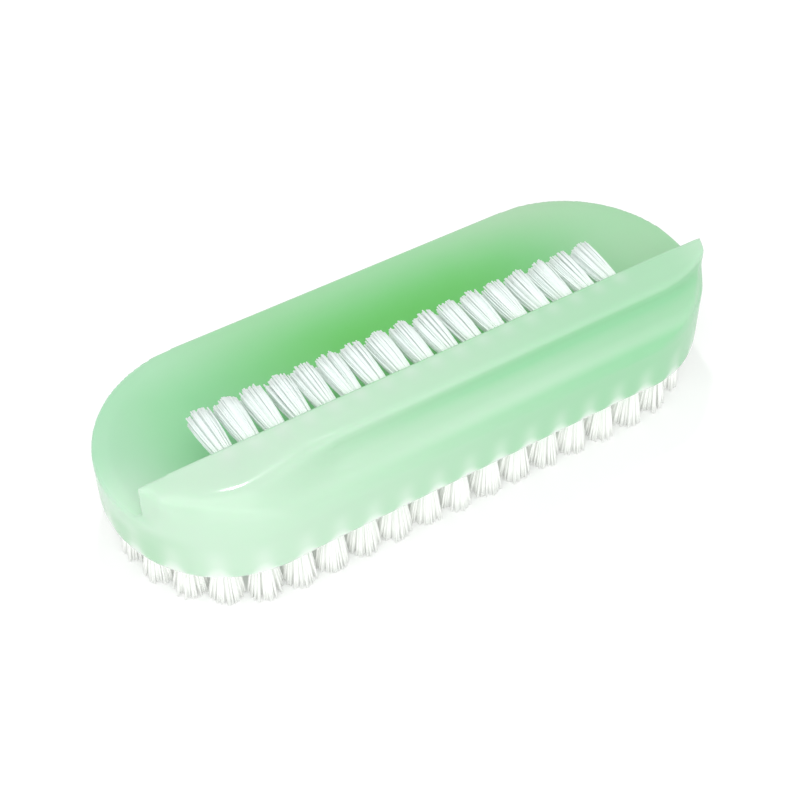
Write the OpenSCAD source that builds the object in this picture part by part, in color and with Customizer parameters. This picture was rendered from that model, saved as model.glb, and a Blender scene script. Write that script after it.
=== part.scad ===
// Double-sided nail brush: a stadium-shaped moulded body with scrubbing tufts below
// and a single row of nail tufts that points across the hollow on its back.
// The length runs along X, the grip is on the -Y side, and the tips rest on Z = 0.

/* [Body] */
// Length of the body over its round ends
body_length = 95; // [88:1:115]
// Width of the body
body_width = 38; // [36:1:42]
// Height of the slab that holds the scrubbing tufts
slab_height = 7; // [6.5:0.5:9]
// Rounding of the slab's lower edge
lower_round = 1.2; // [0.8:0.1:1.6]

/* [Hollow] */
// Depth of the hollow behind the grip at its deepest
hollow_depth = 2.2; // [1.2:0.1:2.4]
// Width of the level rim left round the hollow
rim_width = 2; // [1.2:0.1:3]

/* [Grip] */
// Height of the grip's crest above the rim
crest_rise = 6; // [5.8:0.1:8]
// Distance from the brush's middle line to the grip's inner face
crest_offset = 7; // [6:0.5:7.5]
// Fall of the grip's flat top from its inner face to its lip
top_fall = 0.3; // [0:0.1:0.6]
// Distance from the brush's outer side in to the grip's lip
lip_inset = 4.8; // [4.4:0.1:5.2]
// Rounding of the lip
lip_round = 0.6; // [0.3:0.1:0.8]
// Radius of the finger groove under the lip
groove_radius = 1.7; // [1.2:0.1:1.8]
// Height of the groove's floor above the rim
groove_rise = 3.3; // [3.2:0.1:3.5]
// Ledge left on the slab beyond the grip's left end
left_ledge = 0.6; // [0.4:0.1:1.2]
// Turn of the grip's left end face away from square, in degrees
left_turn = 28; // [25:1:34]
// Distance from each end of the body in to where the lip starts to bend
lip_margin = 13.5; // [12:0.5:16]
// Radius of the bend of the lip towards each end
lip_bend = 19.3; // [18:0.1:22]

/* [Nail row] */
// Number of tufts in the nail row
nail_tufts = 17; // [13:2:17]
// Distance from the body's left end to the first nail tuft
nail_left_margin = 14.6; // [13:0.2:18]
// Distance from the body's right end to the last nail tuft
nail_right_margin = 17.2; // [13:0.2:19]
// Free length of the nail tufts
nail_length = 8; // [6:0.5:10]
// Diameter of the nail row's holes
nail_hole = 2.1; // [2:0.1:2.3]
// Depth of the nail row's holes
nail_hole_depth = 3.2; // [2.8:0.1:3.6]
// Distance from the crest down to the axes of the nail row's holes
nail_drop = 1.75; // [1.7:0.05:2.2]
// How far a nail tuft's strands spread outward from root to tip
nail_flare = 0.55; // [0.2:0.05:0.6]

/* [Scrubbing tufts] */
// Free length of the scrubbing tufts
scrub_length = 8; // [7:0.5:12]
// Diameter of the scrubbing holes
scrub_hole = 2.2; // [2:0.1:2.4]
// Depth of the scrubbing holes
scrub_hole_depth = 3.6; // [3.2:0.1:3.8]
// Distance from the body's edge in to the outer ring of tufts
outer_inset = 3.2; // [3:0.1:3.8]
// Distance from the body's middle line out to the inner rows of tufts
inner_offset = 3.4; // [2.8:0.1:4]
// How far a scrubbing tuft's strands spread outward from root to tip
scrub_flare = 0.9; // [0.3:0.1:1.1]
// Depth of the level trim across the scrubbing tips
trim_depth = 0.5; // [0.3:0.1:0.8]

/* [Strands and anchors] */
// Strands in one nail tuft
nail_strands = 6; // [4:1:6]
// Strands in one scrubbing tuft
scrub_strands = 4; // [3:1:4]
// Distance from the middle of a strand to its corners
strand_radius = 0.3; // [0.2:0.02:0.32]
// Height of a wire anchor along its hole
anchor_height = 1.1; // [0.8:0.1:1.3]
// Thickness of a wire anchor
anchor_thickness = 0.3; // [0.2:0.05:0.4]
// Thickness of the strands' fold behind an anchor
fold_thickness = 0.5; // [0.3:0.1:0.7]
// Gap round each tuft's root and each anchor
seat_gap = 0.05; // [0.03:0.01:0.06]

/* [Hidden] */
RINGS = ["outer", "middle", "inner"];
SIDES = ["near", "right", "far", "left"];
function nail_name(i) = str("nail_tuft_", i < 10 ? "0" : "", i);
function ring_name(ring, side) = str(RINGS[ring], "_", SIDES[side], "_tufts");

mint = [0.72, 0.93, 0.78];
nylon = [0.96, 0.97, 0.95];
wire = [0.78, 0.78, 0.76];

$fn = 64;
hole_fn = 24;
scoop_fn = 360;
overrun = 0.5;

half_length = body_length / 2;
half_width = body_width / 2;
cap_centre = half_length - half_width;
rim_z = scrub_length + slab_height;
crest_z = rim_z + crest_rise;

// The grip's section is drawn outward from the centre of the lip's bend
bend_x = half_length - lip_margin;
bend_y = lip_bend - (half_width - lip_inset);
bend_sweep = 60;
wall_reach = half_width + bend_y;
groove_reach = lip_bend + groove_radius;
shoulder_radius = wall_reach - groove_reach;
groove_z = rim_z + groove_rise;
lip_z = crest_z - top_fall;

// The hollow's arc runs through its two rims and its deepest point
hollow_half_width = half_width - rim_width;
hollow_radius =
    (pow(hollow_half_width, 2) + pow(hollow_depth, 2)) / (2 * hollow_depth);

// Tufts in each ring, from the outer one in
ring_tufts = [42, 32, 22];
ring_step = (half_width - outer_inset - inner_offset) / (len(ring_tufts) - 1);
function ring_radius(ring) = half_width - outer_inset - ring * ring_step;

// A point on a ring, and the outward direction there, for a share of the way round
function ring_point(ring, share) =
    let (radius = ring_radius(ring),
         arc = PI * radius,
         way = share * (4 * cap_centre + 2 * arc),
         right = (way - cap_centre) / radius * 180 / PI,
         left = (way - 3 * cap_centre - arc) / radius * 180 / PI)
    way < cap_centre ? [way, -radius, 0, -1]
    : way < cap_centre + arc
        ? [cap_centre + radius * sin(right), -radius * cos(right), sin(right), -cos(right)]
    : way < 3 * cap_centre + arc ? [2 * cap_centre + arc - way, radius, 0, 1]
    : way < 3 * cap_centre + 2 * arc
        ? [-cap_centre - radius * sin(left), radius * cos(left), -sin(left), cos(left)]
    : [way - 4 * cap_centre - 2 * arc, -radius, 0, -1];
function tuft_point(ring, i) = ring_point(ring, (i + 0.5) / ring_tufts[ring]);

// Side of the ring that a tuft stands on: 0 near, 1 right, 2 far, 3 left
function tuft_side(point) =
    abs(point[2]) > 0 ? (point[2] > 0 ? 1 : 3) : (point[3] < 0 ? 0 : 2);

nail_pitch = (body_length - nail_left_margin - nail_right_margin) / (nail_tufts - 1);
function nail_x(i) = -half_length + nail_left_margin + (i - 1) * nail_pitch;
nail_z = crest_z - nail_drop;

// Half of the body's section before the grip and the hollow are cut
module blank_section() {
    translate([0, scrub_length])
        square([half_width - lower_round, crest_z + overrun - scrub_length]);
    translate([0, scrub_length + lower_round])
        square([half_width, crest_z + overrun - scrub_length - lower_round]);
    translate([half_width - lower_round, scrub_length + lower_round])
        circle(lower_round);
}

module blank() {
    for (side = [0, 180])
        rotate([0, 0, side]) {
            translate([cap_centre, 0, 0])
                rotate([0, 0, -90]) rotate_extrude(angle = 180) blank_section();
            translate([cap_centre, 0, 0])
                rotate([90, 0, -90]) linear_extrude(2 * cap_centre) blank_section();
        }
}

// What is cut from the near side: above the sloping top, round the lip, the groove and
// over the round shoulder below it
module near_section() {
    slope = top_fall / (half_width - lip_inset - crest_offset - lip_round);
    difference() {
        polygon([
            [lip_bend / 2, lip_z + slope * (lip_bend / 2 - lip_round)],
            [lip_bend - lip_round, lip_z],
            [lip_bend - lip_round, lip_z - lip_round],
            [lip_bend, lip_z - lip_round],
            [lip_bend, groove_z - shoulder_radius],
            [wall_reach + overrun, groove_z - shoulder_radius],
            [wall_reach + overrun, crest_z + 2 * overrun],
            [lip_bend / 2, crest_z + 2 * overrun]]);
        translate([lip_bend - lip_round, lip_z - lip_round]) circle(lip_round);
        difference() {
            square([groove_reach, groove_z + groove_radius]);
            translate([groove_reach, groove_z + groove_radius]) circle(groove_radius);
        }
        translate([groove_reach, groove_z - shoulder_radius]) circle(shoulder_radius);
    }
}

module near_side() {
    translate([bend_x, bend_y, 0])
        rotate([90, 0, -90]) linear_extrude(2 * bend_x) near_section();
    for (side = [0, 1])
        mirror([side, 0, 0])
            translate([bend_x, bend_y, 0])
                rotate([0, 0, -90]) rotate_extrude(angle = bend_sweep) near_section();
}

// What is cut from the far side: down to the rim and, inside it, to the hollow
module far_side() {
    intersection() {
        union() {
            translate([-body_length, -body_width, rim_z])
                cube([2 * body_length, 2 * body_width, crest_z]);
            translate([0, 0, rim_z - hollow_depth + hollow_radius]) {
                rotate([0, 90, 0])
                    cylinder(r = hollow_radius, h = 2 * cap_centre, center = true, $fn = scoop_fn);
                for (side = [-1, 1])
                    translate([side * cap_centre, 0, 0]) sphere(hollow_radius, $fn = scoop_fn);
            }
        }
        translate([-body_length / 2 - overrun, -crest_offset, scrub_length])
            cube([body_length + 2 * overrun, body_width, crest_z]);
    }
}

// What is cut from the grip's left end, down to the rim
module left_end() {
    end_x = cap_centre + sqrt(pow(half_width, 2) - pow(crest_offset, 2)) - left_ledge;
    translate([-end_x, -crest_offset, rim_z])
        rotate([0, 0, left_turn])
            translate([-half_width, -half_width, 0])
                cube([half_width, body_width, crest_z]);
}

module nail_seat(i) {
    translate([nail_x(i), -crest_offset, nail_z]) rotate([90, 0, 0]) children();
}

module scrub_seat(ring, i) {
    point = tuft_point(ring, i);
    translate([point[0], point[1], scrub_length])
        rotate([0, 0, atan2(point[3], point[2])])
            children();
}

module tuft_hole(diameter, depth) {
    translate([0, 0, -overrun]) cylinder(d = diameter, h = depth + overrun, $fn = hole_fn);
}

module brush_body() {
    color(mint)
        difference() {
            blank();
            near_side();
            far_side();
            left_end();
            for (i = [1 : nail_tufts])
                nail_seat(i) tuft_hole(nail_hole, nail_hole_depth);
            for (ring = [0 : 2], i = [0 : ring_tufts[ring] - 1])
                scrub_seat(ring, i) tuft_hole(scrub_hole, scrub_hole_depth);
        }
}

// The window that an anchor passes through, and the anchor that lies in it
module anchor_place(depth) {
    translate([0, 0, depth - seat_gap - fold_thickness - seat_gap - anchor_height / 2])
        children();
}

module anchor(diameter, depth) {
    anchor_place(depth)
        cube([diameter - 2 * seat_gap, anchor_thickness, anchor_height], center = true);
}

// The bound end of a tuft, folded over its anchor in the hole
module tuft_root(diameter, depth) {
    difference() {
        translate([0, 0, -fold_thickness])
            cylinder(d = diameter - 2 * seat_gap, h = depth - seat_gap + fold_thickness, $fn = hole_fn);
        anchor_place(depth)
            cube([diameter + overrun, anchor_thickness + 2 * seat_gap,
                  anchor_height + 2 * seat_gap], center = true);
    }
}

// One straight strand with three sides, from its root to its tip
module strand(root, tip, across, up) {
    corners = [for (k = [0 : 2]) strand_radius * (across * cos(120 * k) + up * sin(120 * k))];
    polyhedron(
        points = concat([for (corner = corners) root + corner], [for (corner = corners) tip + corner]),
        faces = [[0, 2, 1], [3, 4, 5],
                 [0, 1, 4], [0, 4, 3], [1, 2, 5], [1, 5, 4], [2, 0, 3], [2, 3, 5]]);
}

function root_spread(diameter) = diameter / 2 - 2 * seat_gap - strand_radius;

module nail_tuft(i) {
    spread = root_spread(nail_hole);
    mouth = [nail_x(i), -crest_offset, nail_z];
    color(nylon) {
        nail_seat(i) tuft_root(nail_hole, nail_hole_depth);
        for (k = [0 : nail_strands - 1]) {
            angle = 360 * k / nail_strands;
            away = [cos(angle), 0, sin(angle)];
            strand(mouth + spread * away,
                   mouth + (spread + nail_flare) * away + [0, nail_length, 0],
                   [1, 0, 0], [0, 0, 1]);
        }
    }
}

// A scrubbing tuft's strands run past the rest plane and are trimmed level on it
module scrub_tuft(ring, i) {
    point = tuft_point(ring, i);
    spread = root_spread(scrub_hole);
    mouth = [point[0], point[1], scrub_length];
    kept = scrub_length / (scrub_length + trim_depth);
    scrub_seat(ring, i) tuft_root(scrub_hole, scrub_hole_depth);
    for (k = [0 : scrub_strands - 1]) {
        angle = 360 * (k + 0.5) / scrub_strands;
        away = [cos(angle), sin(angle), 0];
        root = mouth + spread * away;
        end = mouth + (spread + scrub_flare) * away - [0, 0, scrub_length + trim_depth];
        strand(root, root + kept * (end - root), [1, 0, 0], [0, 1, 0]);
    }
}

module ring_side_tufts(ring, side) {
    color(nylon)
        for (i = [0 : ring_tufts[ring] - 1])
            if (tuft_side(tuft_point(ring, i)) == side) scrub_tuft(ring, i);
}

// The inner ring is two rows, each with the tuft of one end
module inner_near_tufts() {
    color(nylon)
        for (i = [0 : ring_tufts[2] - 1])
            if (i < ring_tufts[2] / 4 || i > ring_tufts[2] * 3 / 4) scrub_tuft(2, i);
}

module inner_far_tufts() {
    color(nylon)
        for (i = [0 : ring_tufts[2] - 1])
            if (i >= ring_tufts[2] / 4 && i <= ring_tufts[2] * 3 / 4) scrub_tuft(2, i);
}

module nail_row_anchors() {
    color(wire)
        for (i = [1 : nail_tufts])
            nail_seat(i) anchor(nail_hole, nail_hole_depth);
}

module ring_anchors(ring) {
    color(wire)
        for (i = [0 : ring_tufts[ring] - 1])
            scrub_seat(ring, i) anchor(scrub_hole, scrub_hole_depth);
}

brush_body();
for (i = [1 : nail_tufts])
    nail_tuft(i);
nail_row_anchors();
for (ring = [0 : 1], side = [0 : 3])
    ring_side_tufts(ring, side);
inner_near_tufts();
inner_far_tufts();
for (ring = [0 : 2])
    ring_anchors(ring);
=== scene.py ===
import math
import bpy
import bmesh
import numpy as np
from mathutils import Matrix, Vector


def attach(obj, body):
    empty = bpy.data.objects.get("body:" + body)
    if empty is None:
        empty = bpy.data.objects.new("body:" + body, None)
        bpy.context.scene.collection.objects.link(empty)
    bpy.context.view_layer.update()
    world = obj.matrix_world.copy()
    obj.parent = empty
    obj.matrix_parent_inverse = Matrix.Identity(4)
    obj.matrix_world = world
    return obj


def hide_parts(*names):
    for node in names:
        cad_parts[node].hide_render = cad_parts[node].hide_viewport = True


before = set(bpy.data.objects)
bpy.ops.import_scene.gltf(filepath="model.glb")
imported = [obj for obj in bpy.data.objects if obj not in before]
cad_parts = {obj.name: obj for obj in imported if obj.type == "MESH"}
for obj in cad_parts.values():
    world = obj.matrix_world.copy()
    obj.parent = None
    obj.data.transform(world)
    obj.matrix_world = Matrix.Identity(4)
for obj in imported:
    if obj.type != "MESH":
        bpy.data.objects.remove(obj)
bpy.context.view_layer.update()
print("frame loaded")


# Shader and geometry trees are built through these two classes, so a sum of sockets reads
# as a sum
class Value:
    def __init__(self, graph, socket):
        self.graph = graph
        self.socket = socket

    def calc(self, operation, *others):
        return self.graph.sum(operation, self, *others)

    def __add__(self, other):
        return self.calc("ADD", other)

    def __mul__(self, other):
        return self.calc("MULTIPLY", other)

    def __sub__(self, other):
        return self.calc("SUBTRACT", other)

    def __truediv__(self, other):
        return self.calc("DIVIDE", other)

    def __rsub__(self, other):
        return self.graph.sum("SUBTRACT", other, self)

    __radd__ = __add__
    __rmul__ = __mul__

    def smooth(self, low, high):  # 0 below low, 1 above high, eased between
        return self.graph.node("ShaderNodeMapRange", {"interpolation_type": "SMOOTHSTEP"},
                               {"Value": self, "From Min": low, "From Max": high})

    def band(self, foot, top):  # 1 between two eased edges, 0 outside them
        return self.smooth(*foot) * (1 - self.smooth(*top))


class Graph:
    def __init__(self, tree):
        self.tree = tree

    def node(self, kind, settings, inputs, output=0):
        made = self.tree.nodes.new(kind)
        for name, value in settings.items():
            setattr(made, name, value)
        for name, value in inputs.items():
            if isinstance(value, Value):
                self.tree.links.new(value.socket, made.inputs[name])
            else:
                made.inputs[name].default_value = value
        return Value(self, made.outputs[output]) if made.outputs else None

    def sum(self, operation, *terms):
        return self.node("ShaderNodeMath", {"operation": operation}, dict(enumerate(terms)))

    def vector(self, operation, *terms, output=0):
        return self.node("ShaderNodeVectorMath", {"operation": operation},
                         dict(enumerate(terms)), output)

    def stretch(self, direction, amount):
        return self.node("ShaderNodeVectorMath", {"operation": "SCALE"},
                         {0: direction, "Scale": amount})

    def mix(self, share, first, second):
        return self.node("ShaderNodeMix", {"data_type": "RGBA"},
                         {0: share, 6: first, 7: second}, 2)


def newMaterial(name):
    material = bpy.data.materials.new(name)
    material.use_nodes = True
    material.node_tree.nodes.clear()
    return material, Graph(material.node_tree)


def finishMaterial(graph, sockets):
    surface = graph.node("ShaderNodeBsdfPrincipled", {}, sockets)
    graph.node("ShaderNodeOutputMaterial", {}, {"Surface": surface})


# The brush's layout, in metres, as it is in the part
layout = {
    "halfLength": 0.0475, "halfWidth": 0.019, "undersideZ": 0.008,
    "crestY": -0.007, "nailAxisZ": 0.01925, "nailTipY": 0.001,
    "nailShift": 0.0013, "nailPitch": 0.00395, "nailCount": 17,
    "ringInset": 0.0032, "ringStep": 0.0062, "ringCounts": (42, 32, 22),
}
capCentre = layout["halfLength"] - layout["halfWidth"]


def ringSeats(ring):  # mouth, direction and side of each tuft of a ring
    radius = layout["halfWidth"] - layout["ringInset"] - ring * layout["ringStep"]
    arc = math.pi * radius
    seats = []
    for i in range(layout["ringCounts"][ring]):
        way = (i + 0.5) / layout["ringCounts"][ring] * (4 * capCentre + 2 * arc)
        if way < capCentre:
            place, out = (way, -radius), (0, -1)
        elif way < capCentre + arc:
            turn = (way - capCentre) / radius
            out = (math.sin(turn), -math.cos(turn))
            place = (capCentre + radius * out[0], radius * out[1])
        elif way < 3 * capCentre + arc:
            place, out = (2 * capCentre + arc - way, radius), (0, 1)
        elif way < 3 * capCentre + 2 * arc:
            turn = (way - 3 * capCentre - arc) / radius
            out = (-math.sin(turn), math.cos(turn))
            place = (-capCentre + radius * out[0], radius * out[1])
        else:
            place, out = (way - 4 * capCentre - 2 * arc, -radius), (0, -1)
        side = "near" if out == (0, -1) else "far" if out == (0, 1) else \
            "right" if out[0] > 0 else "left"
        seats.append((Vector((*place, layout["undersideZ"])), Vector((0, 0, -1)), side))
    return seats


nailNumbers = range(1, layout["nailCount"] + 1)


def nailSeat(i):
    x = (i - (layout["nailCount"] + 1) / 2) * layout["nailPitch"] - layout["nailShift"]
    return Vector((x, layout["crestY"], layout["nailAxisZ"])), Vector((0, 1, 0))


# Body: the part's own solid with its edges softened as a moulding's are
bodyLook = {
    "voxel": 0.00038, "softenTimes": 4, "soften": 0.5, "weld": 0.000001,
    "roughness": 0.09, "cloudRough": 0.06, "rightRough": 0.12, "hollowMatt": 0.3,
    "scatter": 0.35, "scatterDepth": 0.0025, "scatterRadius": (0.6, 1.0, 0.7),
    "refraction": 1.49,
    "cloud": {"Scale": 75, "Detail": 4, "Roughness": 0.6},
    "grain": {"Scale": 900, "Detail": 2}, "grainBump": {"Strength": 0.05, "Distance": 0.0002},
}


def makeBody():
    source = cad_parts["brush_body"].data.copy()
    shell = bmesh.new()
    shell.from_mesh(source)
    bmesh.ops.remove_doubles(shell, verts=shell.verts, dist=bodyLook["weld"])
    shell.to_mesh(source)
    shell.free()
    source.materials.clear()
    draft = bpy.data.objects.new("bodyDraft", source)
    bpy.context.scene.collection.objects.link(draft)
    remesh = draft.modifiers.new("remesh", "REMESH")
    remesh.mode = "VOXEL"
    remesh.voxel_size = bodyLook["voxel"]
    remesh.use_smooth_shade = True
    soften = draft.modifiers.new("soften", "SMOOTH")
    soften.factor = bodyLook["soften"]
    soften.iterations = bodyLook["softenTimes"]
    return plainCopy(draft, "bodyMoulding")


def plainCopy(draft, name):  # the evaluated mesh as a piece with no modifiers
    depsgraph = bpy.context.evaluated_depsgraph_get()
    mesh = bpy.data.meshes.new_from_object(draft.evaluated_get(depsgraph),
                                           preserve_all_data_layers=True, depsgraph=depsgraph)
    mesh.name = name
    piece = bpy.data.objects.new(name, mesh)
    bpy.context.scene.collection.objects.link(piece)
    bpy.data.objects.remove(draft)
    return piece


def pointsOf(piece):
    points = np.empty(len(piece.data.vertices) * 3)
    piece.data.vertices.foreach_get("co", points)
    return points.reshape(-1, 3)


def movePoints(piece, points):
    piece.data.vertices.foreach_set("co", points.ravel())
    piece.data.update()


def between(values, low, high):  # 0 below low, 1 above high, eased between
    share = np.clip((values - low) / (high - low), 0, 1)
    return share * share * (3 - 2 * share)


def capReach(points):  # level distance from the line between the round ends' centres
    return np.hypot(np.maximum(np.abs(points[:, 0]) - capCentre, 0), points[:, 1])


# Left of the finger groove the grip is one full round from its top to the wall. The round
# is drawn outward from the centre of the lip's bend, as far as the body's outline
leftRound = {"bendX": -0.034, "bendY": 0.0051, "reach": 0.018, "height": 0.0152, "up": 0.0056,
             "full": -0.034, "none": -0.021, "mostWorn": 0.0006, "leastWall": 0.001}
# The ridge at the left end and the lip's bend are worn softer than the other edges. Each
# range runs from untouched to fully worn, and left and out are -x and -y
wornPlaces = [
    {"z": (0.0146, 0.0160), "left": (0.0390, 0.0415), "out": (0.0074, 0.0088), "times": 40},
    {"z": (0.0145, 0.0153), "left": (0.0190, 0.0240), "out": (0.0100, 0.0120), "times": 30},
]
wearRate = 0.5


def roundLeftEnd(piece):
    points = pointsOf(piece)
    aside = np.minimum(points[:, 0] - leftRound["bendX"], 0)
    ahead = leftRound["bendY"] - points[:, 1]
    reach = np.hypot(aside, ahead)
    start = np.maximum(points[:, 0], leftRound["bendX"]) + capCentre
    along = (start * aside - leftRound["bendY"] * ahead) / reach
    wall = -along + np.sqrt(along ** 2 - np.minimum(start, 0) ** 2 - leftRound["bendY"] ** 2
                            + layout["halfWidth"] ** 2)
    across, up = reach - leftRound["reach"], points[:, 2] - leftRound["height"]
    radius = np.hypot(across, up)
    width = np.maximum(wall - leftRound["reach"], leftRound["leastWall"])
    full = radius / np.hypot(across / width, up / leftRound["up"])
    inside = (across > 0) & (up > 0) & (ahead > 0)
    share = inside * (1 - between(points[:, 0], leftRound["full"], leftRound["none"]))
    growth = share * np.maximum(full - radius, -leftRound["mostWorn"]) / radius
    points[:, 2] += growth * up
    points[:, 1] -= growth * across * ahead / reach
    points[:, 0] += growth * across * aside / reach
    shares = [between(points[:, 2], *place["z"]) * between(-points[:, 0], *place["left"])
              * between(-points[:, 1], *place["out"]) for place in wornPlaces]
    for place, share in zip(wornPlaces, shares):
        wear(piece, points, share, place["times"])
    movePoints(piece, points)


def wear(piece, points, share, times):  # draws each point towards its neighbours' middle
    edges = np.empty(len(piece.data.edges) * 2, dtype=int)
    piece.data.edges.foreach_get("vertices", edges)
    one, other = edges.reshape(-1, 2).T
    count = np.bincount(edges, minlength=len(points))
    for turn in range(times):
        for axis in range(3):
            line = points[:, axis]
            total = np.bincount(one, line[other], len(points)) \
                + np.bincount(other, line[one], len(points))
            points[:, axis] = line + wearRate * share * (total / count - line)


# Right of its bend the lip is a little narrower than the part draws it. Out is -y
lipTrim = {"most": 0.0012, "in": (0.0090, 0.0125), "out": (0.0140, 0.0175),
           "z": (0.0165, 0.0185), "x": (-0.0290, -0.0180)}


def narrowLip(piece):
    points = pointsOf(piece)
    out = -points[:, 1]
    share = between(out, *lipTrim["in"]) * (1 - between(out, *lipTrim["out"])) \
        * between(points[:, 2], *lipTrim["z"]) * between(points[:, 0], *lipTrim["x"])
    points[:, 1] += lipTrim["most"] * share
    movePoints(piece, points)


# Softening draws the outline in, and this gives it back. The wall also hangs a little
# lower towards both ends, as it does in the photo
outlineFill = {"spread": (1.007, 1.008, 1.006), "sag": 0.0003, "endSag": 0.0012,
               "z": (0.0085, 0.0130), "reach": (0.0100, 0.0160), "ends": (0.0240, 0.0420)}


def fillOutline(piece):
    points = pointsOf(piece)
    low = (1 - between(points[:, 2], *outlineFill["z"])) \
        * between(capReach(points), *outlineFill["reach"])
    ends = between(np.abs(points[:, 0]), *outlineFill["ends"])
    points *= outlineFill["spread"]
    points[:, 2] -= low * (outlineFill["sag"] + outlineFill["endSag"] * ends)
    movePoints(piece, points)


def nearest(points, places):  # level distance from each point to the nearest place
    gaps = [np.hypot(points[:, 0] - place[0], points[:, 1] - place[1]) for place in places]
    return np.min(gaps, axis=0)


# The white roots show through the plastic: as arches low on the side walls, with a faint
# streak above each, and as soft patches on the grip's flat top. The hollow is marked as
# well, for its duller finish
rootMarks = {
    "wallReach": (0.0172, 0.0182), "wallTop": (0.0142, 0.0150),
    "archFoot": 0.0004, "archTop": 0.0036, "archCurve": 700, "archShare": 0.85,
    "streakWidth": 0.0012, "streakTop": (0.0020, 0.0060), "streakShare": 0.26,
    "flatTop": (0.0203, 0.0206), "patchIn": 0.0012, "patchWidth": 0.0012, "patchShare": 0.16,
    "hollowReach": (0.0182, 0.0190), "hollowY": (-0.0078, -0.0066), "hollowZ": (0.0118, 0.0124),
}


def markRoots(piece):
    points = pointsOf(piece)
    height = points[:, 2] - layout["undersideZ"]
    reach = capReach(points)
    wall = between(reach, *rootMarks["wallReach"]) \
        * (1 - between(points[:, 2], *rootMarks["wallTop"]))
    gap = nearest(points, [mouth for mouth, aim, side in ringSeats(0)])
    aside = np.sqrt(np.maximum(gap ** 2 - layout["ringInset"] ** 2, 0))
    drop = rootMarks["archCurve"] * aside ** 2
    arch = 1 - between(height, rootMarks["archFoot"] - drop, rootMarks["archTop"] - drop)
    streak = rootMarks["streakShare"] * np.exp(-(aside / rootMarks["streakWidth"]) ** 2) \
        * (1 - between(height, *rootMarks["streakTop"]))
    glow = wall * np.maximum(rootMarks["archShare"] * arch, streak)
    roots = [(mouth.x, mouth.y - rootMarks["patchIn"])
             for mouth, aim in map(nailSeat, nailNumbers)]
    patch = np.exp(-(nearest(points, roots) / rootMarks["patchWidth"]) ** 2)
    top = between(points[:, 2], *rootMarks["flatTop"])
    glow = np.maximum(glow, rootMarks["patchShare"] * top * patch)
    hollow = (1 - between(reach, *rootMarks["hollowReach"])) \
        * between(points[:, 1], *rootMarks["hollowY"]) \
        * between(points[:, 2], *rootMarks["hollowZ"])
    for name, values in (("rootGlow", glow), ("matt", hollow)):
        marks = piece.data.attributes.new(name, "FLOAT", "POINT")
        marks.data.foreach_set("value", values.astype(np.float32))


# Colours of the plastic, as the photo's uneven light and depth show them
# These colours carry painted light and shade: lighter to the left, on the grip's top and faces and
# at the rim's left corner; painted shade in the groove, along the wall under it, at the left end
# and in the hollow
bodyPaint = {
    "left": (0.585, 0.785, 0.62), "right": (0.345, 0.665, 0.405), "lip": (0.98, 1.0, 0.98),
    "groove": (0.29, 0.68, 0.37), "leftEnd": (0.45, 0.71, 0.49), "corner": (0.62, 0.82, 0.66),
    "rimLeft": (0.43, 0.72, 0.50), "rim": (0.345, 0.655, 0.37), "rimRight": (0.42, 0.65, 0.43),
    "hollow": (0.28, 0.66, 0.34), "deep": (0.12, 0.56, 0.095), "root": (0.95, 0.98, 0.95),
}
# Where one colour turns into the next: each place is where the change starts and ends
paintPlaces = {
    "wholeX": (-0.048, 0.030), "rightTipX": (0.0400, 0.0470), "lipZ": (0.0199, 0.0205),
    "lipMiddleX": (-0.025, 0.005), "lipRightX": (0.038, 0.046),
    "gripY": (-0.0140, -0.0115), "gripX": (-0.034, 0.012),
    "grooveFoot": (0.0181, 0.0190), "grooveTop": (0.0194, 0.0204),
    "faceFoot": (0.0169, 0.0180), "faceTop": (0.0181, 0.0189), "faceX": (0.010, 0.035),
    "ridgeFoot": (0.0150, 0.0160), "ridgeTop": (0.0168, 0.0180), "ridgeX": (0.008, 0.028),
    "leftEndX": (-0.0470, -0.0405), "leftEndY": (-0.0100, -0.0050), "wallZ": (0.0125, 0.0150),
    "backY": (-0.0078, -0.0066), "backLeftY": (-0.0125, -0.0005), "backLeftX": (-0.0470, -0.0380),
    "backZ": (0.0105, 0.0128), "rimX": (-0.043, -0.012), "rimRightX": (0.008, 0.034),
    "cornerX": (-0.0465, -0.0330), "cornerY": (-0.0065, 0.0065),
    "hollowY": (0.009, 0.019), "hollowX": (-0.047, -0.030), "hollowRightX": (0.020, 0.044),
    "deepFromMiddle": (0.008, 0.038), "deepY": (0.0085, 0.0195), "deepNearY": (0.0, 0.009),
    "rightRoughX": (-0.0340, -0.0290),
}
deepMiddleX = 0.004
paintShares = {
    "groove": 0.66, "face": 0.17, "faceRightLess": 0.35, "ridge": 0.45, "ridgeLeft": 0.35,
    "rightTip": 0.08, "lip": 0.04, "lipMiddle": 0.08, "lipRight": 0.10, "corner": 0.9,
    "hollowLeast": 0.75, "hollowCloud": 0.5, "hollowRightLess": 0.7,
    "deepNear": 0.6, "deepLeast": 0.7, "deepCloud": 0.4, "cloud": 0.10,
}


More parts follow.
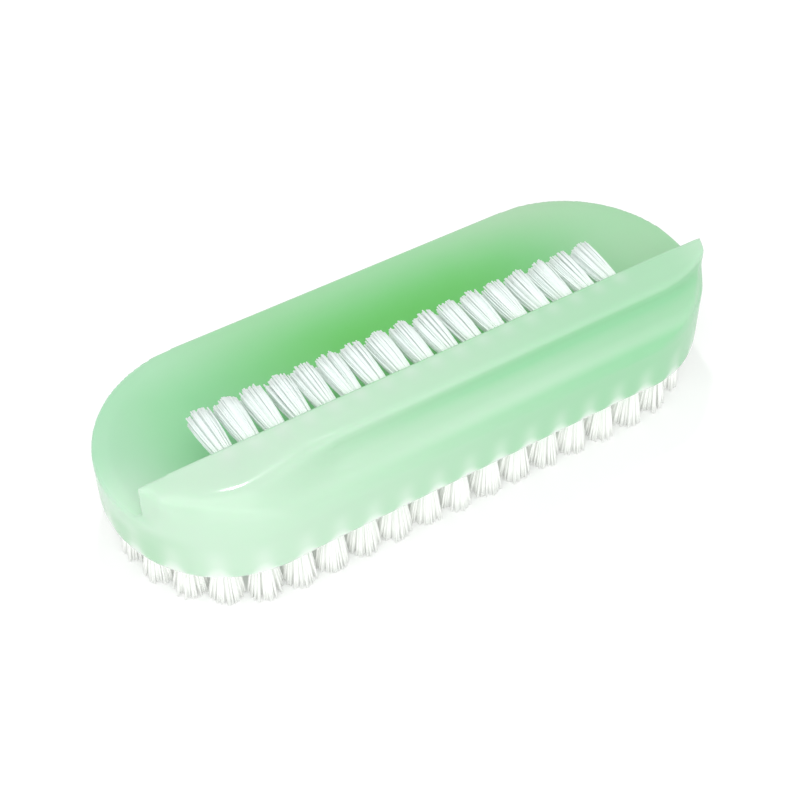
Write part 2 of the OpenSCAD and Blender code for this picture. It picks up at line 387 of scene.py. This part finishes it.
def nearColour(graph, x, y, z, paint):  # the grip, the walls and the left end
    places, shares = paintPlaces, paintShares
    # Painted light: the grip and walls are lighter towards the left end, darker and greener
    # towards the right
    colour = graph.mix(x.smooth(*places["wholeX"]), paint["left"], paint["right"])
    outer = (1 - y.smooth(*places["gripY"])) * x.smooth(*places["gripX"])
    # Painted shade darkens the finger groove
    groove = outer * z.band(places["grooveFoot"], places["grooveTop"])
    # Painted light on the band of wall just under the groove, less towards the right
    face = outer * z.band(places["faceFoot"], places["faceTop"]) \
        * (1 - shares["faceRightLess"] * x.smooth(*places["faceX"]))
    # Painted shade on the band of wall below the groove, less towards the left
    ridge = outer * z.band(places["ridgeFoot"], places["ridgeTop"]) \
        * (shares["ridgeLeft"] + (1 - shares["ridgeLeft"]) * x.smooth(*places["ridgeX"]))
    low = 1 - z.smooth(*places["wallZ"])
    # Painted shade: the left end's low wall and its back are darker
    leftEnd = (1 - x.smooth(*places["leftEndX"])) \
        * low.calc("MAXIMUM", y.smooth(*places["leftEndY"]))
    colour = graph.mix(groove * shares["groove"], colour, paint["groove"])
    colour = graph.mix(face * shares["face"], colour, paint["lip"])
    colour = graph.mix(ridge * shares["ridge"], colour, paint["groove"])
    colour = graph.mix(leftEnd, colour, paint["leftEnd"])
    # Painted light on the right tip and on the grip's flat top, more in the middle and to the
    # right
    colour = graph.mix(shares["rightTip"] * x.smooth(*places["rightTipX"]), colour, paint["lip"])
    lip = shares["lip"] + shares["lipMiddle"] * x.smooth(*places["lipMiddleX"]) \
        + shares["lipRight"] * x.smooth(*places["lipRightX"])
    return graph.mix(lip * z.smooth(*places["lipZ"]), colour, paint["lip"])


def backColour(graph, x, y, paint, cloud):  # the rim and the hollow inside it
    places, shares = paintPlaces, paintShares
    # The rim is lighter at the left end, where painted light falls, and paler again towards the
    # right end
    rim = graph.mix(x.smooth(*places["rimX"]), paint["rimLeft"], paint["rim"])
    # Painted light at the left corner of the rim, beside the grip's end
    corner = (1 - x.smooth(*places["cornerX"])) * (1 - y.smooth(*places["cornerY"]))
    rim = graph.mix(shares["corner"] * corner, rim, paint["corner"])
    rim = graph.mix(x.smooth(*places["rimRightX"]), rim, paint["rimRight"])
    # The hollow gets greener and darker towards the grip: painted shade under the grip and the
    # tufts, partly the plastic's own deeper colour
    hollow = (1 - y.smooth(*places["hollowY"])) \
        * (shares["hollowLeast"] + shares["hollowCloud"] * cloud) \
        * x.smooth(*places["hollowX"]) \
        * (1 - shares["hollowRightLess"] * x.smooth(*places["hollowRightX"]))
    return graph.mix(hollow.calc("MINIMUM", 1.0), rim, paint["hollow"])


def bodyMaterial():
    material, graph = newMaterial("mintPlastic")
    places, shares = paintPlaces, paintShares
    place = graph.node("ShaderNodeTexCoord", {}, {}, "Object")
    x, y, z = [graph.node("ShaderNodeSeparateXYZ", {}, {0: place}, axis) for axis in range(3)]
    cloud = graph.node("ShaderNodeTexNoise", {}, {"Vector": place, **bodyLook["cloud"]})
    paint = {name: (*value, 1) for name, value in bodyPaint.items()}

    inner = x.smooth(*places["backLeftX"])
    behind = inner * y.smooth(*places["backY"]) + (1 - inner) * y.smooth(*places["backLeftY"])
    behind = behind * z.smooth(*places["backZ"])
    colour = graph.mix(behind, nearColour(graph, x, y, z, paint),
                       backColour(graph, x, y, paint, cloud))
    # Painted shade: a darker, greener patch in the middle of the hollow next to the grip, partly
    # the plastic's own deeper colour
    ends = 1 - (x - deepMiddleX).calc("ABSOLUTE").smooth(*places["deepFromMiddle"])
    deep = behind * (1 - y.smooth(*places["deepY"])) * ends \
        * (shares["deepNear"] + (1 - shares["deepNear"]) * y.smooth(*places["deepNearY"])) \
        * (shares["deepLeast"] + shares["deepCloud"] * cloud)
    colour = graph.mix(deep.calc("MINIMUM", 1.0), colour, paint["deep"])
    glow = graph.node("ShaderNodeAttribute", {"attribute_name": "rootGlow"}, {}, "Fac")
    colour = graph.mix(glow, colour, paint["root"])
    colour = graph.mix(shares["cloud"] * cloud, colour, paint["right"])

    grain = graph.node("ShaderNodeTexNoise", {}, {"Vector": place, **bodyLook["grain"]})
    bump = graph.node("ShaderNodeBump", {}, {"Height": grain, **bodyLook["grainBump"]}, "Normal")
    matt = graph.node("ShaderNodeAttribute", {"attribute_name": "matt"}, {}, "Fac")
    roughness = bodyLook["roughness"] + bodyLook["cloudRough"] * cloud \
        + bodyLook["rightRough"] * x.smooth(*places["rightRoughX"]) + bodyLook["hollowMatt"] * matt
    finishMaterial(graph, {
        "Base Color": colour, "Roughness": roughness, "Normal": bump,
        "IOR": bodyLook["refraction"],
        "Subsurface Weight": bodyLook["scatter"], "Subsurface Radius": bodyLook["scatterRadius"],
        "Subsurface Scale": bodyLook["scatterDepth"]})
    return material


# Tufts: bundles of fine filaments, spread from their holes and trimmed at their tips. The
# nail row's filaments end a little past the solid's tips
nailOverhang = 0.0003
nailLook = {
    "Filaments": 140, "Root Radius": 0.00118, "Tip Radius": 0.00188, "Root Depth": 0.0012,
    "Belly": 0.0002, "Filament Radius": 0.00014, "Ragged": 0.0006, "Dome": 0.00012,
    "Sway": 0.00012, "Seed": 11,
    "Trim Direction": (0, 1, 0), "Trim Distance": layout["nailTipY"] + nailOverhang,
}
scrubLook = {
    "Filaments": 140, "Root Radius": 0.0011, "Tip Radius": 0.0026, "Root Depth": 0.0012,
    "Belly": 0.00005, "Filament Radius": 0.00017, "Ragged": 0.0003, "Dome": 0.0001,
    "Sway": 0.0002, "Seed": 23,
    "Trim Direction": (0, 0, -1), "Trim Distance": 0.0,
}
seedStep = 40
filamentShape = {"sides": 5, "rings": 4, "tipShare": 0.92, "turn": 2.399963, "turnChance": 0.35,
                 "crowding": 0.4, "rootShare": 0.88, "spreadLeast": 0.86, "spreadMost": 1.04}


def tuftTree():
    tree = bpy.data.node_groups.new("growTufts", "GeometryNodeTree")
    face = tree.interface
    face.new_socket("Seats", in_out="INPUT", socket_type="NodeSocketGeometry")
    kinds = {"Filaments": "NodeSocketInt", "Seed": "NodeSocketInt",
             "Trim Direction": "NodeSocketVector"}
    for name in nailLook:
        face.new_socket(name, in_out="INPUT", socket_type=kinds.get(name, "NodeSocketFloat"))
    face.new_socket("Material", in_out="INPUT", socket_type="NodeSocketMaterial")
    face.new_socket("Tufts", in_out="OUTPUT", socket_type="NodeSocketGeometry")
    graph = Graph(tree)
    source = graph.node("NodeGroupInput", {}, {}).socket.node
    given = {socket.name: Value(graph, socket) for socket in source.outputs if socket.name}
    filaments = graph.node("GeometryNodeDuplicateElements", {"domain": "POINT"}, {
        "Geometry": given["Seats"], "Amount": given["Filaments"]})
    number = Value(graph, filaments.socket.node.outputs[1])

    def keep(geometry, name, kind, value):
        return graph.node("GeometryNodeStoreNamedAttribute",
                          {"data_type": kind, "domain": "POINT"},
                          {"Geometry": geometry, "Name": name, "Value": value})

    def kept(name, kind="FLOAT_VECTOR"):
        return graph.node("GeometryNodeInputNamedAttribute", {"data_type": kind}, {"Name": name})

    seat = graph.node("GeometryNodeInputPosition", {}, {})
    aim = kept("aim")

    def chance(low, high, step):  # a fresh random number for each filament
        return graph.node("FunctionNodeRandomValue", {"data_type": "FLOAT"},
                          {2: low, 3: high, "Seed": given["Seed"] + step}, 1)

    def trimReach(direction):  # how far a vector goes towards the trim plane
        return graph.vector("DOT_PRODUCT", direction, given["Trim Direction"], output=1)

    # Filaments fill the hole's circle as seeds fill a flower head, closer towards its rim
    share = ((number + 0.5) / given["Filaments"]).calc("POWER", filamentShape["crowding"])
    turn = number * filamentShape["turn"] \
        + chance(-filamentShape["turnChance"], filamentShape["turnChance"], 1)
    across = graph.vector("NORMALIZE", graph.vector("CROSS_PRODUCT", aim, (1, 0, 0)))
    up = graph.vector("CROSS_PRODUCT", aim, across)
    away = graph.vector("ADD", graph.stretch(across, turn.calc("COSINE")),
                        graph.stretch(up, turn.calc("SINE")))
    away = graph.stretch(away, share)
    root = graph.vector("ADD", seat, graph.stretch(
        away, given["Root Radius"] * filamentShape["rootShare"]))
    root = graph.vector("SUBTRACT", root, graph.stretch(aim, given["Root Depth"]))
    reach = given["Trim Distance"] - trimReach(seat)
    spread = given["Tip Radius"] * chance(
        filamentShape["spreadLeast"], filamentShape["spreadMost"], 2)
    tip = graph.vector("ADD", graph.vector("ADD", seat, graph.stretch(aim, reach)),
                       graph.stretch(away, spread))
    span = graph.vector("SUBTRACT", tip, root)
    # Each filament is cut where it meets the trim plane, less its own raggedness
    short = chance(0, 1, 3)
    wanted = given["Trim Distance"] - given["Ragged"] * short * short \
        - given["Dome"] * share * share - trimReach(root)
    span = graph.stretch(span, wanted / trimReach(span))
    bendTurn = chance(0, 2 * math.pi, 4)
    sway = graph.vector("ADD", graph.stretch(across, bendTurn.calc("COSINE")),
                        graph.stretch(up, bendTurn.calc("SINE")))
    sway = graph.stretch(sway, given["Sway"] * chance(0, 1, 5))

    filaments = keep(filaments, "sway", "FLOAT_VECTOR", sway)
    filaments = keep(filaments, "belly", "FLOAT_VECTOR", graph.stretch(away, given["Belly"]))
    filaments = keep(filaments, "tone", "FLOAT", chance(0, 1, 6))
    filaments = keep(filaments, "span", "FLOAT_VECTOR", span)
    filaments = keep(filaments, "root", "FLOAT_VECTOR", root)
    filaments = graph.node("GeometryNodeSetPosition", {},
                           {"Geometry": filaments, "Position": kept("root")})
    one = graph.node("GeometryNodeMeshCone", {"fill_type": "NGON"}, {
        "Vertices": filamentShape["sides"], "Side Segments": filamentShape["rings"],
        "Radius Top": filamentShape["tipShare"], "Radius Bottom": 1.0, "Depth": 1.0})
    height = graph.node("ShaderNodeSeparateXYZ", {}, {
        0: graph.node("GeometryNodeInputPosition", {}, {})}, 2)
    one = keep(one, "along", "FLOAT", height)
    width = given["Filament Radius"]
    size = graph.node("ShaderNodeCombineXYZ", {}, {
        0: width, 1: width, 2: graph.vector("LENGTH", kept("span"), output=1)})
    facing = graph.node("FunctionNodeAlignRotationToVector", {"axis": "Z"},
                        {"Vector": kept("span")})
    grown = graph.node("GeometryNodeInstanceOnPoints", {}, {
        "Points": filaments, "Instance": one, "Rotation": facing, "Scale": size})
    grown = graph.node("GeometryNodeRealizeInstances", {}, {"Geometry": grown})
    along = kept("along", "FLOAT")
    bow = graph.stretch(kept("belly"), 4 * along * (1 - along))  # a parabola, 1 half way up
    grown = graph.node("GeometryNodeSetPosition", {}, {
        "Geometry": grown,
        "Offset": graph.vector("ADD", graph.stretch(kept("sway"), along * along), bow)})
    grown = graph.node("GeometryNodeSetMaterial", {}, {
        "Geometry": grown, "Material": given["Material"]})
    graph.node("NodeGroupOutput", {}, {"Tufts": grown})
    identifiers = {item.name: item.identifier for item in face.items_tree
                   if item.item_type == "SOCKET" and item.in_out == "INPUT"}
    return tree, identifiers


def growTufts(name, seats, look, maker, material):
    tree, identifiers = maker
    mesh = bpy.data.meshes.new(name + "Seats")
    mesh.from_pydata([mouth for mouth, aim in seats], [], [])
    aims = mesh.attributes.new("aim", "FLOAT_VECTOR", "POINT")
    aims.data.foreach_set("vector", [part for mouth, aim in seats for part in aim])
    draft = bpy.data.objects.new(name + "Draft", mesh)
    bpy.context.scene.collection.objects.link(draft)
    modifier = draft.modifiers.new("grow", "NODES")
    modifier.node_group = tree
    for field, value in look.items():
        modifier[identifiers[field]] = value
    modifier[identifiers["Material"]] = material
    piece = plainCopy(draft, name)
    for spare in ("sway", "belly", "span", "root", "aim"):
        if spare in piece.data.attributes:
            piece.data.attributes.remove(piece.data.attributes[spare])
    piece.data.shade_smooth()
    return piece


# Light that filaments pass on to each other stands in as a faint glow of their own
# The roots are greener than the tips, and on the scrub tufts darker: painted green light from the
# plastic and painted shade under the body
nylonLook = {
    "nailNylon": {"root": (0.88, 0.97, 0.91), "tip": (0.88, 0.955, 0.93),
                  "roughness": 0.4, "glow": 0.05},
    "scrubNylon": {"root": (0.82, 0.94, 0.84), "tip": (0.93, 0.945, 0.92),
                   "roughness": 0.42, "glow": 0.12},
    "rootToTip": (0.1, 0.6), "darker": 0.85, "darkerShare": 0.15, "rougher": 0.1,
    "glowColour": (0.97, 1, 0.95, 1), "refraction": 1.53,
}


def nylonMaterial(name):
    look = nylonLook[name]
    material, graph = newMaterial(name)
    along = graph.node("ShaderNodeAttribute", {"attribute_name": "along"}, {}, "Fac")
    tone = graph.node("ShaderNodeAttribute", {"attribute_name": "tone"}, {}, "Fac")
    colour = graph.mix(along.smooth(*nylonLook["rootToTip"]), (*look["root"], 1),
                       (*look["tip"], 1))
    dark = [nylonLook["darker"] * part for part in look["tip"]]
    colour = graph.mix(tone * nylonLook["darkerShare"], colour, (*dark, 1))
    finishMaterial(graph, {
        "Base Color": colour, "Roughness": look["roughness"] + nylonLook["rougher"] * tone,
        "IOR": nylonLook["refraction"], "Emission Color": nylonLook["glowColour"],
        "Emission Strength": look["glow"]})
    return material


# Anchors: drawn wire, which keeps the solid's own shape
wireLook = {"dark": (0.62, 0.61, 0.58, 1), "light": (0.80, 0.79, 0.76, 1),
            "grain": (300, 300, 4000), "roughness": 0.25, "rougher": 0.2}
anchorNodes = ["nail_row_anchors", "outer_ring_anchors", "middle_ring_anchors",
               "inner_ring_anchors"]


def wireMaterial():
    material, graph = newMaterial("anchorWire")
    place = graph.node("ShaderNodeTexCoord", {}, {}, "Object")
    drawn = graph.node("ShaderNodeTexNoise", {}, {
        "Vector": graph.vector("MULTIPLY", place, wireLook["grain"]), "Scale": 1.0, "Detail": 2})
    colour = graph.mix(drawn, wireLook["dark"], wireLook["light"])
    finishMaterial(graph, {"Base Color": colour, "Metallic": 1.0,
                           "Roughness": wireLook["roughness"] + wireLook["rougher"] * drawn})
    return material


# Seats, look and material of the tufts of each of the part's nodes
def tuftGroups():
    nailNylon, scrubNylon = nylonMaterial("nailNylon"), nylonMaterial("scrubNylon")
    groups = {"nail_tuft_%02d" % i: ([nailSeat(i)], nailLook, nailNylon) for i in nailNumbers}
    for ring, ringName in enumerate(("outer", "middle", "inner")):
        for mouth, aim, side in ringSeats(ring):
            if ringName == "inner":
                side = "near" if mouth.y < 0 else "far"
            node = "%s_%s_tufts" % (ringName, side)
            groups.setdefault(node, ([], scrubLook, scrubNylon))[0].append((mouth, aim))
    return groups


body = makeBody()
roundLeftEnd(body)
narrowLip(body)
markRoots(body)
fillOutline(body)
body.data.materials.clear()
body.data.materials.append(bodyMaterial())
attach(body, "root")
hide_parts("brush_body")
print("body made:", len(body.data.polygons), "faces")

maker = tuftTree()
groups = tuftGroups()
for order, (node, (seats, look, nylon)) in enumerate(groups.items()):
    words = node.split("_")
    name = words[0] + "".join(word.capitalize() for word in words[1:])
    look = {**look, "Seed": look["Seed"] + seedStep * order}
    tufts = growTufts(name, seats, look, maker, nylon)
    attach(tufts, "root")
    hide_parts(node)
print("tufts grown:", len(groups), "groups")

wire = wireMaterial()
for node in anchorNodes:
    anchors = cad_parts[node]
    anchors.data.materials.clear()
    anchors.data.materials.append(wire)
print("anchors finished")

# Studio: a white floor that keeps the shadow, a soft sky, a broad lamp, a low one for the
# near side, and a small one that draws the streak on the lip
studio = {"floorSize": 4.0, "floorColour": (0.93, 0.93, 0.93, 1), "floorLift": 0.11,
          "floorRoughness": 0.9, "sky": 0.73}
lamps = {
    "keyLamp": {"place": (-0.26, -0.30, 0.60), "target": (-0.02, 0, 0.01),
                "size": 0.8, "power": 1.9},
    "streakLamp": {"place": (0.062, 0.144, 0.430), "target": (-0.035, -0.0137, 0.0207),
                   "size": 0.02, "power": 0.22},
    "lowLamp": {"place": (-0.20, -0.55, 0.10), "target": (0, 0, 0.006),
                "size": 0.6, "power": 0.9},
}


def makeFloor():
    half = studio["floorSize"] / 2
    mesh = bpy.data.meshes.new("floor")
    mesh.from_pydata([(-half, -half, 0), (half, -half, 0), (half, half, 0), (-half, half, 0)],
                     [], [(0, 1, 2, 3)])
    floor = bpy.data.objects.new("floor", mesh)
    bpy.context.scene.collection.objects.link(floor)
    material, graph = newMaterial("floorPaint")
    seen = graph.node("ShaderNodeLightPath", {}, {}, "Is Camera Ray")
    finishMaterial(graph, {"Base Color": studio["floorColour"],
                           "Roughness": studio["floorRoughness"],
                           "Emission Color": (1, 1, 1, 1),
                           "Emission Strength": seen * studio["floorLift"]})
    mesh.materials.append(material)


def makeSky():
    world = bpy.data.worlds.new("sky")
    bpy.context.scene.world = world
    world.use_nodes = True
    world.node_tree.nodes.clear()
    graph = Graph(world.node_tree)
    seen = graph.node("ShaderNodeLightPath", {}, {}, "Is Camera Ray")
    light = graph.node("ShaderNodeBackground", {}, {
        "Color": (1, 1, 1, 1), "Strength": studio["sky"] + seen * (1 - studio["sky"])})
    graph.node("ShaderNodeOutputWorld", {}, {"Surface": light})


def addLamp(name, settings):
    lamp = bpy.data.lights.new(name, "AREA")
    lamp.energy = settings["power"]
    lamp.size = settings["size"]
    holder = bpy.data.objects.new(name, lamp)
    bpy.context.scene.collection.objects.link(holder)
    holder.location = settings["place"]
    aim = Vector(settings["target"]) - Vector(settings["place"])
    holder.rotation_euler = aim.to_track_quat("-Z", "Y").to_euler()


# Camera: the photo's own viewing angle
view = {"azimuth": -32.211, "elevation": 44.638, "distance": 0.22903, "lens": 72, "film": 36,
        "aim": (0, 0, 0.015), "shift": (-0.01316, -0.0592), "nearest": 0.01}


def makeCamera():
    azimuth, elevation = math.radians(view["azimuth"]), math.radians(view["elevation"])
    back = Vector((math.sin(azimuth) * math.cos(elevation),
                   -math.cos(azimuth) * math.cos(elevation), math.sin(elevation)))
    right = Vector((math.cos(azimuth), math.sin(azimuth), 0))
    up = back.cross(right)
    data = bpy.data.cameras.new("photoCamera")
    data.lens = view["lens"]
    data.sensor_width = view["film"]
    data.shift_x, data.shift_y = view["shift"]
    data.clip_start = view["nearest"]
    camera = bpy.data.objects.new("photoCamera", data)
    bpy.context.scene.collection.objects.link(camera)
    turned = Matrix((right, up, back)).transposed().to_4x4()
    moved = Matrix.Translation(Vector(view["aim"]) + back * view["distance"])
    camera.matrix_world = moved @ turned
    bpy.context.scene.camera = camera


makeFloor()
makeSky()
for name, settings in lamps.items():
    addLamp(name, settings)
makeCamera()
bpy.context.scene.view_settings.view_transform = "Standard"
print("studio set")
